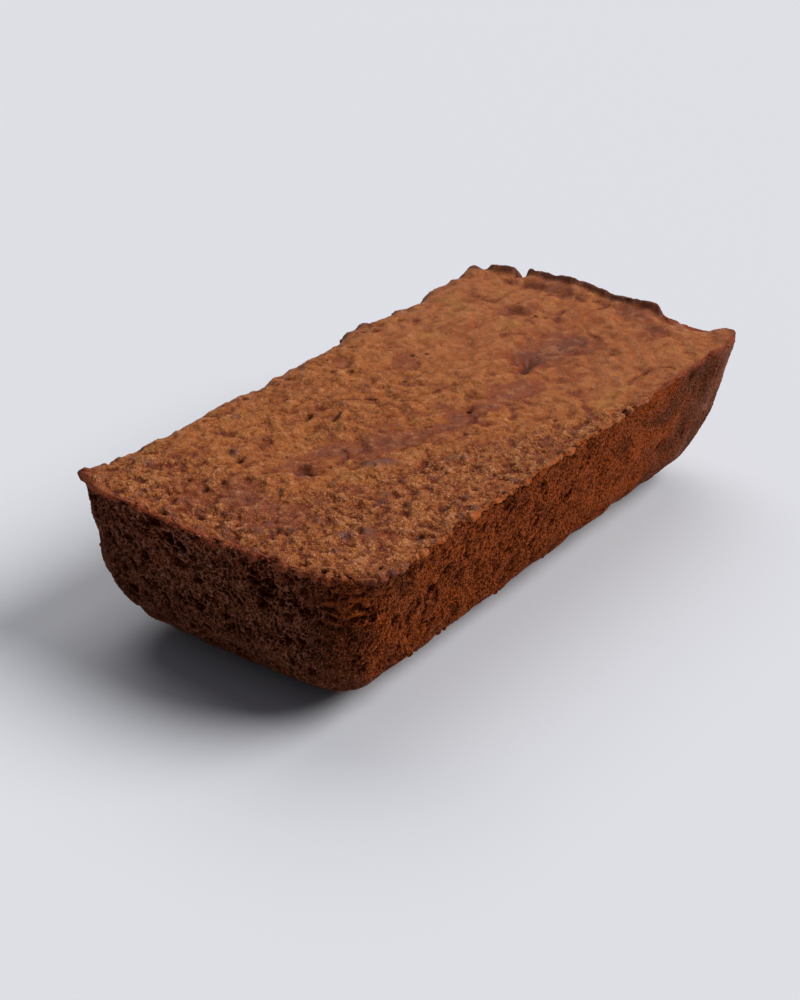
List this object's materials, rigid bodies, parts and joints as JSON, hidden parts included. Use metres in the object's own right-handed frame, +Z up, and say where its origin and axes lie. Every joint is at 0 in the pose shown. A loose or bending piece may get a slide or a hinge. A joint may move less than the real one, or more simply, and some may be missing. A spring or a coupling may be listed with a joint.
{
  "type": "banana bread",
  "caption": "Uncut loaf of banana bread as it comes out of a loaf tin: sloped porous walls, a flat base and a browned, uneven top crust with ears and a raised lip.",
  "frame": {"origin": "middle of the loaf's box, on the flat base", "axes": "+X along the loaf towards the end with the raised lip of crust, +Y across it, +Z up"},
  "size_m": [0.2249, 0.1163, 0.057],
  "materials": {
    "crust": "baked crust, brown and slightly moist, with an open crumb on the walls"
  },
  "bodies": {
    "root": {"loaf": "crust"}
  },
  "joints": []
}
